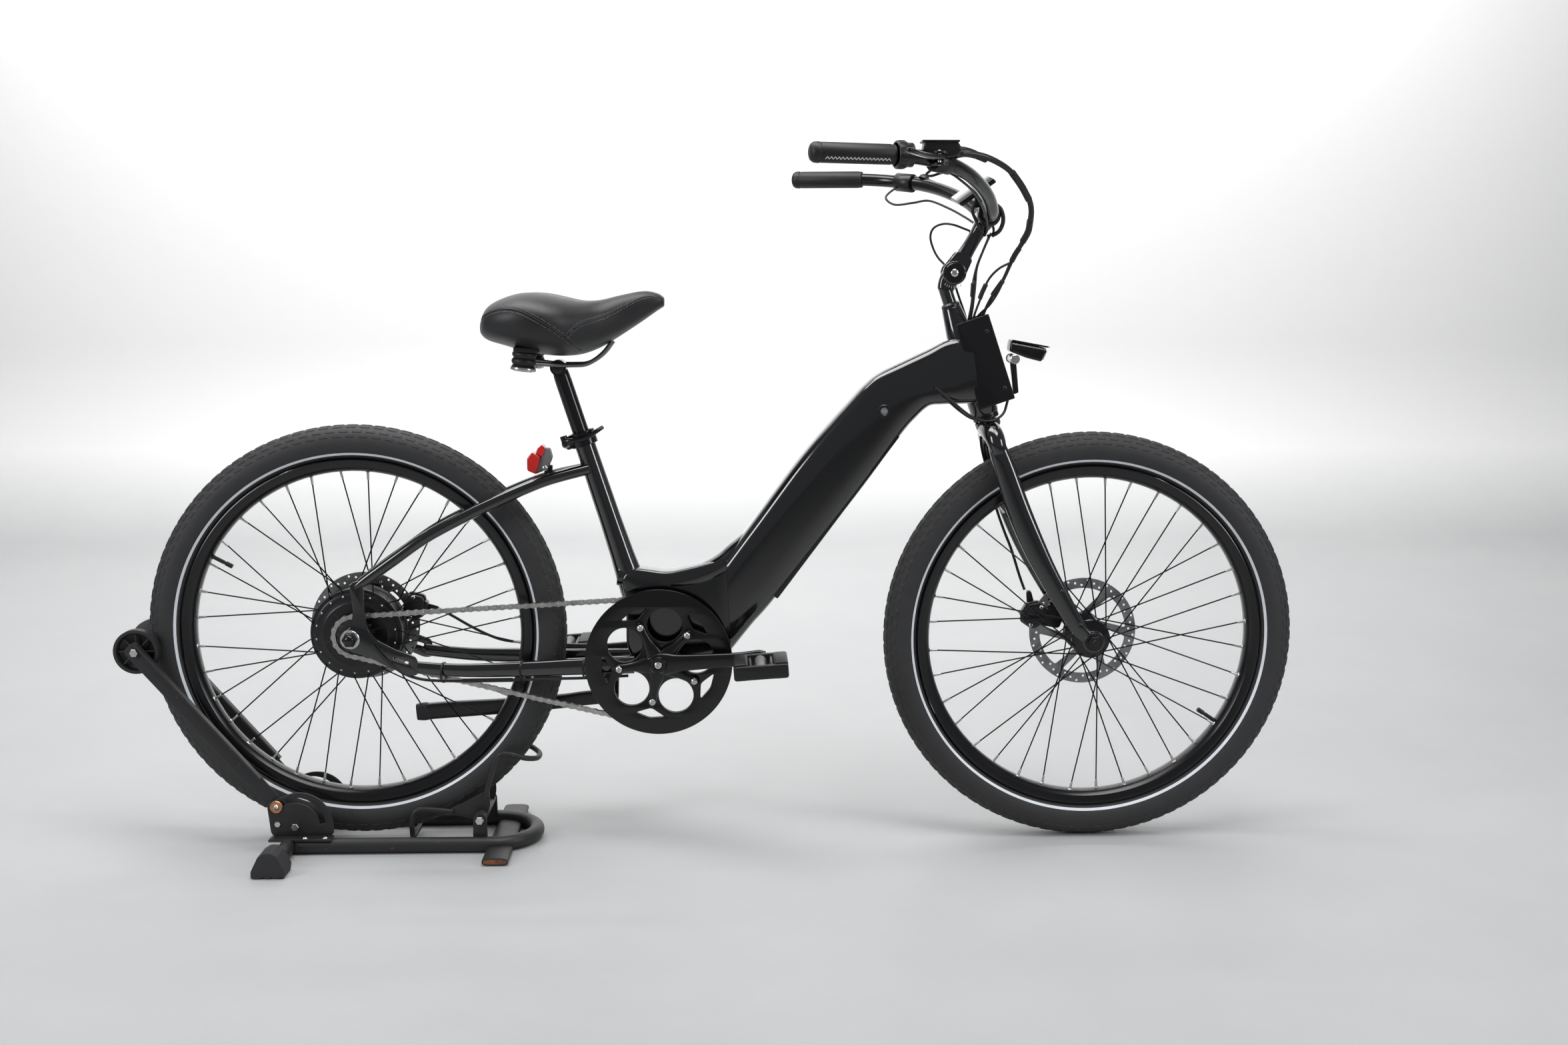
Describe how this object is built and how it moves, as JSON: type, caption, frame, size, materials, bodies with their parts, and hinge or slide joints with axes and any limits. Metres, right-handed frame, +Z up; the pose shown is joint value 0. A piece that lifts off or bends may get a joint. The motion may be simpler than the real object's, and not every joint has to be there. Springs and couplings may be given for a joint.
{
  "type": "bicycle on floor stand",
  "caption": "Step-through electric bicycle with balloon tyres, hub motor, swept handlebar and sprung saddle, its rear wheel held upright in a folding floor stand with a spool roller.",
  "frame": {"origin": "on the floor under the middle of the object's bounding box, in the bicycle's middle plane", "axes": "+X towards the front wheel, +Y to the rider's left, +Z up"},
  "size_m": [1.9272, 0.784, 1.124],
  "materials": {
    "gloss_black_paint": "gloss",
    "satin_black": "satin",
    "stand_black": "worn satin",
    "tyre_rubber": "matt",
    "soft_rubber": "matt",
    "steel": "satin",
    "motor_alloy": "satin black",
    "alloy_black": "gloss black",
    "leatherette": "grained",
    "black_plastic": "satin",
    "red_lens": "gloss",
    "battery_case": "gloss"
  },
  "bodies": {
    "stand": {"stand_base": "stand_black", "stand_foot_right": "soft_rubber", "stand_foot_left": "soft_rubber"},
    "stand_arms": {"stand_arm": "stand_black"},
    "stand_roller": {"stand_roller": "black_plastic"},
    "stand_cradle": {"stand_cradle": "stand_black"},
    "frame": {"down_tube": "gloss_black_paint", "seat_tube": "gloss_black_paint", "bottom_bracket_junction": "gloss_black_paint", "head_tube": "gloss_black_paint", "right_chainstay": "gloss_black_paint", "left_chainstay": "gloss_black_paint", "seatstays": "gloss_black_paint", "seat_clamp": "alloy_black", "controller_box": "black_plastic", "rear_light": "red_lens", "rear_caliper": "satin_black", "rear_axle": "steel", "chain": "steel", "control_harness": "soft_rubber"},
    "battery": {"battery_pack": "battery_case"},
    "battery_lock": {"battery_lock": "black_plastic"},
    "rear_wheel": {"rear_tyre": "tyre_rubber", "rear_rim_and_spokes": "alloy_black", "hub_motor": "motor_alloy", "rear_rotor": "steel"},
    "rear_sprocket": {"rear_sprocket": "steel"},
    "crankset": {"chainring": "alloy_black", "right_crank": "alloy_black", "left_crank": "alloy_black"},
    "right_pedal": {"right_pedal": "black_plastic"},
    "left_pedal": {"left_pedal": "black_plastic"},
    "fork": {"fork": "gloss_black_paint", "front_axle": "steel", "front_caliper": "satin_black", "front_brake_cable": "soft_rubber", "stem_base": "alloy_black"},
    "front_wheel": {"front_tyre": "tyre_rubber", "front_rim_and_spokes": "alloy_black", "front_hub": "motor_alloy", "front_rotor": "steel"},
    "bars": {"stem_arm": "alloy_black", "handlebar": "alloy_black", "right_grip": "soft_rubber", "left_grip": "soft_rubber", "control_pod": "black_plastic", "left_lever_mount": "black_plastic"},
    "throttle": {"throttle": "black_plastic"},
    "right_brake_lever": {"right_brake_lever": "satin_black"},
    "left_brake_lever": {"left_brake_lever": "satin_black"},
    "rear_caliper_arm": {"rear_caliper_arm": "satin_black"},
    "front_caliper_arm": {"front_caliper_arm": "satin_black"},
    "display": {"display": "black_plastic"},
    "headlight": {"headlight": "black_plastic"},
    "kickstand": {"kickstand": "satin_black"},
    "seatpost": {"seatpost": "alloy_black"},
    "saddle": {"saddle_cushion": "leatherette", "saddle_rails": "steel"},
    "seat_clamp_lever": {"seat_clamp_lever": "satin_black"}
  },
  "joints": [
    {"name": "stand_arm_lean", "type": "hinge", "parent": "stand", "child": "stand_arms", "pos_m": [-0.68065, 0, 0.0415], "axis": [0, -1, 0], "range_deg": [0, 5]},
    {"name": "stand_roller_spin", "type": "hinge", "parent": "stand_arms", "child": "stand_roller", "pos_m": [-0.92765, 0, 0.332], "axis": [0, 1, 0], "continuous": true},
    {"name": "bike_lift_out", "type": "slide", "parent": "stand", "child": "frame", "axis": [0, 0, 1], "range_m": [0, 0.34]},
    {"name": "stand_cradle_rock", "type": "hinge", "parent": "stand", "child": "stand_cradle", "pos_m": [-0.38065, 0, 0.051], "axis": [0, 1, 0], "range_deg": [0, 20]},
    {"name": "rear_wheel_spin", "type": "hinge", "parent": "frame", "child": "rear_wheel", "pos_m": [-0.57895, 0, 0.3548], "axis": [0, 1, 0], "continuous": true},
    {"name": "crank_spin", "type": "hinge", "parent": "frame", "child": "crankset", "pos_m": [-0.08655, 0, 0.31], "axis": [0, 1, 0], "continuous": true},
    {"name": "sprocket_spin", "type": "hinge", "parent": "frame", "child": "rear_sprocket", "pos_m": [-0.57895, 0, 0.3548], "axis": [0, 1, 0], "continuous": true},
    {"name": "right_pedal_spin", "type": "hinge", "parent": "crankset", "child": "right_pedal", "pos_m": [0.07803, -0.139, 0.3218], "axis": [0, 1, 0], "continuous": true},
    {"name": "left_pedal_spin", "type": "hinge", "parent": "crankset", "child": "left_pedal", "pos_m": [-0.25113, 0.139, 0.2982], "axis": [0, 1, 0], "continuous": true},
    {"name": "steer", "type": "hinge", "parent": "frame", "child": "fork", "pos_m": [0.45085, 0, 0.6984], "axis": [-0.3173, 0, 0.9483], "range_deg": [-50, 50], "deforming": ["control_harness", "front_brake_cable"]},
    {"name": "front_wheel_spin", "type": "hinge", "parent": "fork", "child": "front_wheel", "pos_m": [0.62365, 0, 0.34], "axis": [0, 1, 0], "continuous": true},
    {"name": "stem_angle", "type": "hinge", "parent": "fork", "child": "bars", "pos_m": [0.39235, 0, 0.937], "axis": [0, 1, 0], "range_deg": [-20, 20], "deforming": ["control_harness"]},
    {"name": "throttle_twist", "type": "hinge", "parent": "bars", "child": "throttle", "pos_m": [0.26835, -0.3026, 1.1025], "axis": [-0.9661, -0.2581, 0.0077], "range_deg": [0, 60], "stiffness_Nm_per_rad": 0.25},
    {"name": "right_brake_squeeze", "type": "hinge", "parent": "bars", "child": "right_brake_lever", "pos_m": [0.33235, -0.296, 1.099], "axis": [0, 0, -1], "range_deg": [0, 14], "stiffness_Nm_per_rad": 1.2},
    {"name": "left_brake_squeeze", "type": "hinge", "parent": "bars", "child": "left_brake_lever", "pos_m": [0.33235, 0.296, 1.099], "axis": [0, 0, 1], "range_deg": [0, 14], "stiffness_Nm_per_rad": 1.2},
    {"name": "rear_caliper_pull", "type": "hinge", "parent": "frame", "child": "rear_caliper_arm", "pos_m": [-0.49695, 0.064, 0.3848], "axis": [0, 1, 0], "range_deg": [0, 21]},
    {"name": "front_caliper_pull", "type": "hinge", "parent": "fork", "child": "front_caliper_arm", "pos_m": [0.54065, 0.053, 0.368], "axis": [0, 1, 0], "range_deg": [0, 21]},
    {"name": "display_tilt", "type": "hinge", "parent": "bars", "child": "display", "pos_m": [0.43035, 0, 1.053], "axis": [0, 1, 0], "range_deg": [-12, 20]},
    {"name": "headlight_tilt", "type": "hinge", "parent": "frame", "child": "headlight", "pos_m": [0.49135, 0, 0.799], "axis": [0, 1, 0], "range_deg": [-15, 20]},
    {"name": "kickstand_swing", "type": "hinge", "parent": "frame", "child": "kickstand", "pos_m": [-0.17365, 0.049, 0.232], "axis": [0, -1, 0], "range_deg": [0, 28]},
    {"name": "seatpost_height", "type": "slide", "parent": "frame", "child": "seatpost", "axis": [-0.3057, 0, 0.9521], "range_m": [-0.08, 0.07]},
    {"name": "saddle_tilt", "type": "hinge", "parent": "seatpost", "child": "saddle", "pos_m": [-0.24555, 0, 0.79], "axis": [0, 1, 0], "range_deg": [-10, 10]},
    {"name": "seat_clamp_flip", "type": "hinge", "parent": "frame", "child": "seat_clamp_lever", "pos_m": [-0.23598, -0.0156, 0.668], "axis": [0.3057, 0, -0.9521], "range_deg": [0, 90]},
    {"name": "battery_release", "type": "slide", "parent": "frame", "child": "battery", "axis": [0.8017, 0, -0.5977], "range_m": [0, 0.06]},
    {"name": "battery_lock_turn", "type": "hinge", "parent": "frame", "child": "battery_lock", "pos_m": [0.27915, -0.038, 0.7166], "axis": [0, 1, 0], "range_deg": [0, 90]}
  ],
  "couplings": [
    {"joint": "sprocket_spin", "follows": "crank_spin", "ratio": 3.25},
    {"joint": "stand_cradle_rock", "follows": "bike_lift_out", "rad_per_m": 1},
    {"joint": "rear_caliper_pull", "follows": "right_brake_squeeze", "ratio": 1.4},
    {"joint": "front_caliper_pull", "follows": "left_brake_squeeze", "ratio": 1.4}
  ]
}
